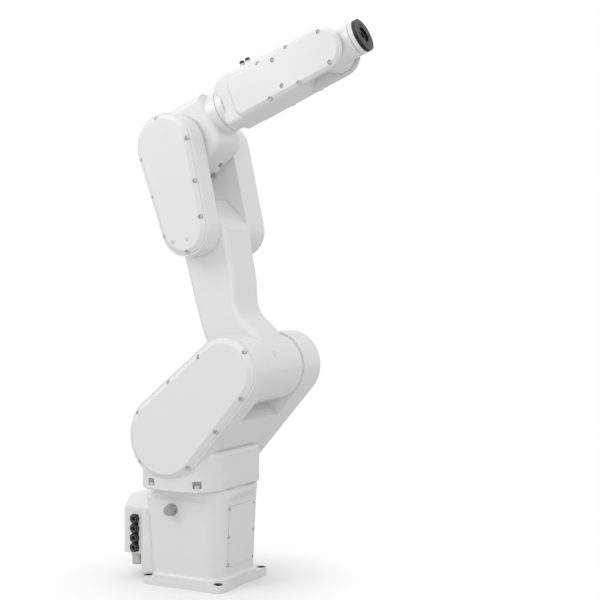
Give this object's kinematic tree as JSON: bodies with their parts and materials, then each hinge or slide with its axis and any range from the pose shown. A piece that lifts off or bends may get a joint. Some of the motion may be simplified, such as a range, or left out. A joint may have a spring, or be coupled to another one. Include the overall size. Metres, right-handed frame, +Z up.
{
  "type": "industrial robot arm",
  "caption": "Jointed industrial robot arm in white castings on a square foot plate, with forked shoulder, elbow and wrist and a black turning disc at the tool end.",
  "frame": {"origin": "on the floor at the centre of the foot plate, on the axis on which the arm turns", "axes": "+Z up, +X to the robot's front, joint pins of the shoulder, elbow and wrist along Y at rest"},
  "size_m": [0.665, 0.3462, 1.3681],
  "materials": {
    "white_paint": "glossy white paint",
    "black_plastic": "satin black",
    "connector_metal": "dull plated metal",
    "black_metal": "black anodised"
  },
  "bodies": {
    "base": {"foot_plate": "white_paint", "base_casting": "white_paint", "front_cover": "white_paint", "connector_box": "white_paint", "box_cap": "white_paint", "air_connectors": "black_plastic", "power_connector": "connector_metal", "side_plug": "connector_metal"},
    "swing": {"swing_casting": "white_paint", "near_shoulder_cover": "white_paint", "far_shoulder_cover": "white_paint"},
    "lower_arm": {"lower_arm_casting": "white_paint", "near_elbow_cover": "white_paint", "far_elbow_cover": "white_paint"},
    "elbow": {"elbow_casting": "white_paint"},
    "forearm": {"forearm_casting": "white_paint", "near_forearm_cover": "white_paint", "far_forearm_cover": "white_paint", "air_outlets": "black_plastic"},
    "wrist": {"wrist_casting": "white_paint"},
    "disc": {"turning_disc": "black_metal"}
  },
  "joints": [
    {"name": "base_turn", "type": "hinge", "parent": "base", "child": "swing", "pos_m": [0, 0, 0.2425], "axis": [0, 0, 1], "range_deg": [-180, 180]},
    {"name": "shoulder_tilt", "type": "hinge", "parent": "swing", "child": "lower_arm", "pos_m": [0.15, 0, 0.536], "axis": [0, 1, 0], "range_deg": [-80.5, 149.5]},
    {"name": "elbow_tilt", "type": "hinge", "parent": "lower_arm", "child": "elbow", "pos_m": [-0.04294, 0, 1.08085], "axis": [0, -1, 0], "range_deg": [-68, 207]},
    {"name": "forearm_roll", "type": "hinge", "parent": "elbow", "child": "forearm", "pos_m": [0.06572, 0, 1.17456], "axis": [0.9239, 0, 0.3827], "range_deg": [-230, 230]},
    {"name": "wrist_tilt", "type": "hinge", "parent": "forearm", "child": "wrist", "pos_m": [0.35558, 0, 1.29463], "axis": [0, -1, 0], "range_deg": [-130, 130]},
    {"name": "disc_turn", "type": "hinge", "parent": "wrist", "child": "disc", "pos_m": [0.44243, 0, 1.3306], "axis": [0.9239, 0, 0.3827], "range_deg": [-400, 400]}
  ]
}
